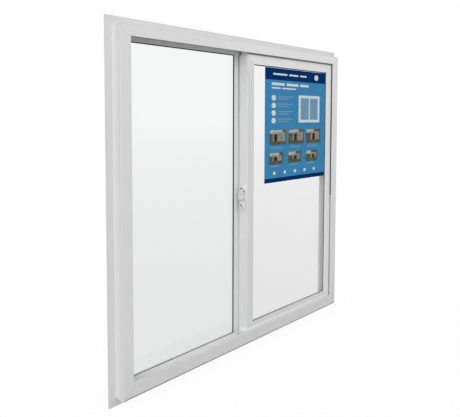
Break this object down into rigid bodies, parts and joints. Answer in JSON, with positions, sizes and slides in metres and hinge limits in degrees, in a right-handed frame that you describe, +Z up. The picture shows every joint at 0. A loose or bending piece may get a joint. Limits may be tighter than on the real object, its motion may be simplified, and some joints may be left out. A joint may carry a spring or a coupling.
{
  "type": "horizontal sliding window",
  "caption": "White plastic window with a glass pane fixed in the frame at the left and a framed glass sash at the right that slides across in front of it, in a flanged frame.",
  "frame": {"origin": "on the back face of the mounting flange, in the middle of its bottom strip", "axes": "+X to the right seen from the latch side, +Y into the wall, +Z up"},
  "size_m": [1, 0.071, 1],
  "materials": {
    "pvc_white": "satin",
    "glass_clear": "polished",
    "gasket_black": "matte",
    "rail_aluminium": "mill",
    "pile_grey": "brushed pile",
    "plastic_grey": "matte",
    "nylon_white": "satin",
    "latch_white": "gloss",
    "screw_steel": "zinc plated",
    "sheet_paper": "coated"
  },
  "bodies": {
    "frame": {"fixed_bead_bottom": "pvc_white", "fixed_bead_left": "pvc_white", "fixed_bead_right": "pvc_white", "fixed_bead_top": "pvc_white", "fixed_gasket_front": "gasket_black", "fixed_gasket_rear": "gasket_black", "fixed_glass": "glass_clear", "frame_head": "pvc_white", "frame_jamb_left": "pvc_white", "frame_jamb_right": "pvc_white", "frame_sill": "pvc_white", "jamb_buffer": "plastic_grey", "mullion": "pvc_white", "sill_rail": "rail_aluminium"},
    "sash": {"info_sheet": "sheet_paper", "latch_body": "latch_white", "latch_lever": "latch_white", "latch_screws": "screw_steel", "roller_carriage_left": "plastic_grey", "roller_carriage_right": "plastic_grey", "roller_wheel_left": "nylon_white", "roller_wheel_right": "nylon_white", "sash_bead_bottom": "pvc_white", "sash_bead_left": "pvc_white", "sash_bead_right": "pvc_white", "sash_bead_top": "pvc_white", "sash_gasket_front": "gasket_black", "sash_gasket_rear": "gasket_black", "sash_glass": "glass_clear", "sash_interlock": "pvc_white", "sash_pile_bottom": "pile_grey", "sash_pile_top": "pile_grey", "sash_rail_bottom": "pvc_white", "sash_rail_top": "pvc_white", "sash_stile_jamb": "pvc_white", "sash_stile_meeting": "pvc_white"}
  },
  "joints": [
    {"name": "sash_slide", "type": "slide", "parent": "frame", "child": "sash", "axis": [-1, 0, 0], "range_m": [0, 0.408]}
  ]
}
